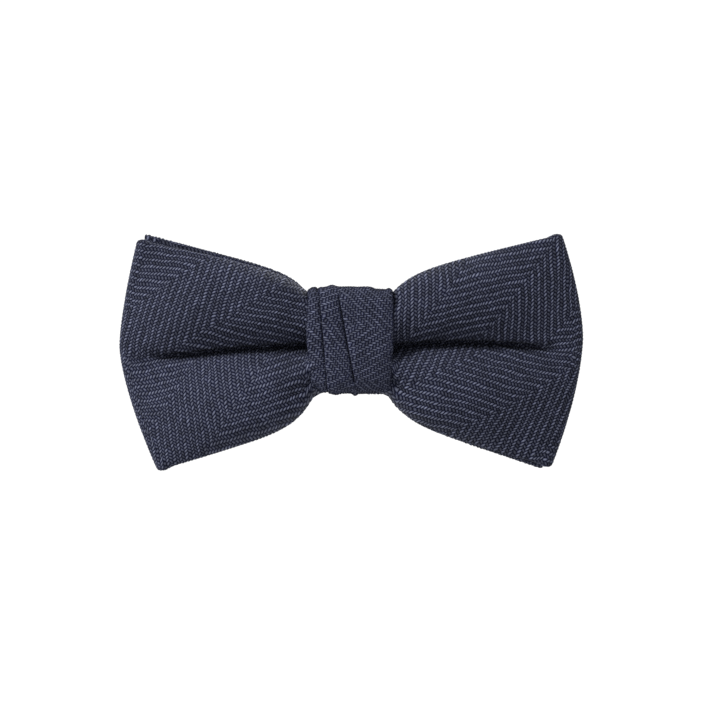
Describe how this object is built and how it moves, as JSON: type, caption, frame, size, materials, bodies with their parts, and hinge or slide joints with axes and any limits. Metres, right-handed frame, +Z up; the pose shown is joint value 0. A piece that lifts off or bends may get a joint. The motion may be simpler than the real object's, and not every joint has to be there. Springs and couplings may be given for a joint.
{
  "type": "bow tie",
  "caption": "Clip-on pre-tied bow tie in dark herringbone wool, with looped lobes, flat tails, a pleated knot and sprung jaws that grip a shirt collar.",
  "frame": {"origin": "centre of the rear face of the clip base, where the shirt collar lies", "axes": "+X to the right as seen from the front, +Z up as worn, the front of the bow faces -Y and the collar is gripped on the +Y side"},
  "size_m": [0.1099, 0.0243, 0.0563],
  "materials": {
    "herringbone_cloth": "matt wool twill",
    "interlining_cloth": "matt woven interlining",
    "sewing_thread": "soft sheen thread",
    "nickel_steel": "bright nickel plate",
    "rivet_steel": "satin",
    "spring_steel": "drawn wire"
  },
  "bodies": {
    "root": {"front_bow_cover": "herringbone_cloth", "front_bow_interlining": "interlining_cloth", "rear_bow_cover": "herringbone_cloth", "rear_bow_interlining": "interlining_cloth", "waist_binding_thread": "sewing_thread", "knot_wrap": "herringbone_cloth", "knot_interlining": "interlining_cloth", "knot_closing_stitches": "sewing_thread", "clip_base": "nickel_steel", "left_hinge_pin": "rivet_steel", "right_hinge_pin": "rivet_steel", "left_spring": "spring_steel", "right_spring": "spring_steel"},
    "left_jaw": {"left_jaw": "nickel_steel"},
    "right_jaw": {"right_jaw": "nickel_steel"}
  },
  "joints": [
    {"name": "left_jaw_hinge", "type": "hinge", "parent": "root", "child": "left_jaw", "pos_m": [-0.016, 0.003, 0], "axis": [0, 0, -1], "range_deg": [0, 25], "stiffness_Nm_per_rad": 0.02, "springref_deg": -28.65, "deforming": ["left_spring"]},
    {"name": "right_jaw_hinge", "type": "hinge", "parent": "root", "child": "right_jaw", "pos_m": [0.016, 0.003, 0], "axis": [0, 0, 1], "range_deg": [0, 25], "stiffness_Nm_per_rad": 0.02, "springref_deg": -28.65, "deforming": ["right_spring"]}
  ]
}
